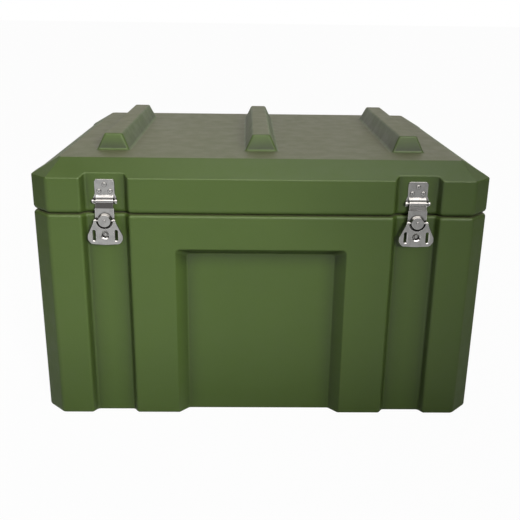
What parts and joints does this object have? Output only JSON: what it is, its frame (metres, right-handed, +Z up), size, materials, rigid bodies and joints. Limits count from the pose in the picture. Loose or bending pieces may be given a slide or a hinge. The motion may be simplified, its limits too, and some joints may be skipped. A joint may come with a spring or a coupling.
{
  "type": "hard equipment case",
  "caption": "Hard plastic equipment case with chamfered corners, a ribbed bevelled hinged lid, steel rotary draw latches in upright channels and folding side handles.",
  "frame": {"origin": "middle of the flat base, on the floor", "axes": "+X to the right seen from the latch side, +Y to the rear where the hinges are, +Z up"},
  "size_m": [0.8, 0.669, 0.5085],
  "materials": {
    "olive_shell": "satin moulded polyethylene, fine texture",
    "latch_steel": "polished stainless pressing",
    "rivet_steel": "stainless blind rivet",
    "hinge_steel": "brushed stainless",
    "handle_steel": "brushed stainless",
    "gasket_rubber": "matte sponge rubber",
    "grip_rubber": "matte moulded rubber",
    "valve_plastic": "black moulded plastic"
  },
  "bodies": {
    "case": {"body_shell": "olive_shell", "gasket": "gasket_rubber", "left_carry_plate": "handle_steel", "left_carry_rivets": "handle_steel", "left_hinge_body_leaf": "hinge_steel", "left_hinge_body_rivets": "hinge_steel", "left_hinge_pin": "hinge_steel", "left_latch_keeper": "latch_steel", "left_latch_keeper_rivets": "rivet_steel", "right_carry_plate": "handle_steel", "right_carry_rivets": "handle_steel", "right_hinge_body_leaf": "hinge_steel", "right_hinge_body_rivets": "hinge_steel", "right_hinge_pin": "hinge_steel", "right_latch_keeper": "latch_steel", "right_latch_keeper_rivets": "rivet_steel", "valve_body": "valve_plastic", "valve_cap": "valve_plastic"},
    "lid": {"left_hinge_lid_leaf": "hinge_steel", "left_hinge_lid_rivets": "hinge_steel", "left_latch_base": "latch_steel", "left_latch_pin": "latch_steel", "left_latch_rivet_1": "rivet_steel", "left_latch_rivet_2": "rivet_steel", "left_latch_rivet_3": "rivet_steel", "lid_shell": "olive_shell", "right_hinge_lid_leaf": "hinge_steel", "right_hinge_lid_rivets": "hinge_steel", "right_latch_base": "latch_steel", "right_latch_pin": "latch_steel", "right_latch_rivet_1": "rivet_steel", "right_latch_rivet_2": "rivet_steel", "right_latch_rivet_3": "rivet_steel"},
    "left_bail": {"left_carry_bail": "handle_steel", "left_carry_grip": "grip_rubber"},
    "left_cam": {"left_latch_cam": "latch_steel", "left_latch_cam_rivet": "rivet_steel", "left_latch_flip_pin_1": "latch_steel", "left_latch_flip_pin_2": "latch_steel"},
    "left_turning_handle": {"left_latch_handle": "latch_steel"},
    "left_hook": {"left_latch_hook": "latch_steel"},
    "left_strap": {"left_latch_strap": "latch_steel", "left_latch_stud": "latch_steel"},
    "right_bail": {"right_carry_bail": "handle_steel", "right_carry_grip": "grip_rubber"},
    "right_cam": {"right_latch_cam": "latch_steel", "right_latch_cam_rivet": "rivet_steel", "right_latch_flip_pin_1": "latch_steel", "right_latch_flip_pin_2": "latch_steel"},
    "right_turning_handle": {"right_latch_handle": "latch_steel"},
    "right_hook": {"right_latch_hook": "latch_steel"},
    "right_strap": {"right_latch_strap": "latch_steel", "right_latch_stud": "latch_steel"}
  },
  "joints": [
    {"name": "lid_hinge", "type": "hinge", "parent": "case", "child": "lid", "pos_m": [0, 0.33, 0.389], "axis": [-1, 0, 0], "range_deg": [0, 105]},
    {"name": "left_strap_swing", "type": "hinge", "parent": "lid", "child": "left_strap", "pos_m": [-0.27, -0.3192, 0.4107], "axis": [-1, 0, 0], "range_deg": [0, 100]},
    {"name": "left_cam_turn", "type": "hinge", "parent": "left_strap", "child": "left_cam", "pos_m": [-0.27, -0.33, 0.3787], "axis": [0, 1, 0], "range_deg": [0, 180]},
    {"name": "left_handle_flip", "type": "hinge", "parent": "left_cam", "child": "left_turning_handle", "pos_m": [-0.27, -0.33, 0.3787], "axis": [-1, 0, 0], "range_deg": [0, 90]},
    {"name": "left_hook_slide", "type": "slide", "parent": "left_strap", "child": "left_hook", "axis": [0, 0, -1], "range_m": [0, 0.008]},
    {"name": "left_bail_swing", "type": "hinge", "parent": "case", "child": "left_bail", "pos_m": [-0.3952, 0, 0.275], "axis": [0, 1, 0], "range_deg": [0, 90]},
    {"name": "right_strap_swing", "type": "hinge", "parent": "lid", "child": "right_strap", "pos_m": [0.27, -0.3192, 0.4107], "axis": [-1, 0, 0], "range_deg": [0, 100]},
    {"name": "right_cam_turn", "type": "hinge", "parent": "right_strap", "child": "right_cam", "pos_m": [0.27, -0.33, 0.3787], "axis": [0, 1, 0], "range_deg": [0, 180]},
    {"name": "right_handle_flip", "type": "hinge", "parent": "right_cam", "child": "right_turning_handle", "pos_m": [0.27, -0.33, 0.3787], "axis": [-1, 0, 0], "range_deg": [0, 90]},
    {"name": "right_hook_slide", "type": "slide", "parent": "right_strap", "child": "right_hook", "axis": [0, 0, -1], "range_m": [0, 0.008]},
    {"name": "right_bail_swing", "type": "hinge", "parent": "case", "child": "right_bail", "pos_m": [0.3952, 0, 0.275], "axis": [0, -1, 0], "range_deg": [0, 90]}
  ],
  "couplings": [
    {"joint": "left_hook_slide", "follows": "left_cam_turn", "m_per_rad": 0.00254},
    {"joint": "right_hook_slide", "follows": "right_cam_turn", "m_per_rad": 0.00254}
  ]
}
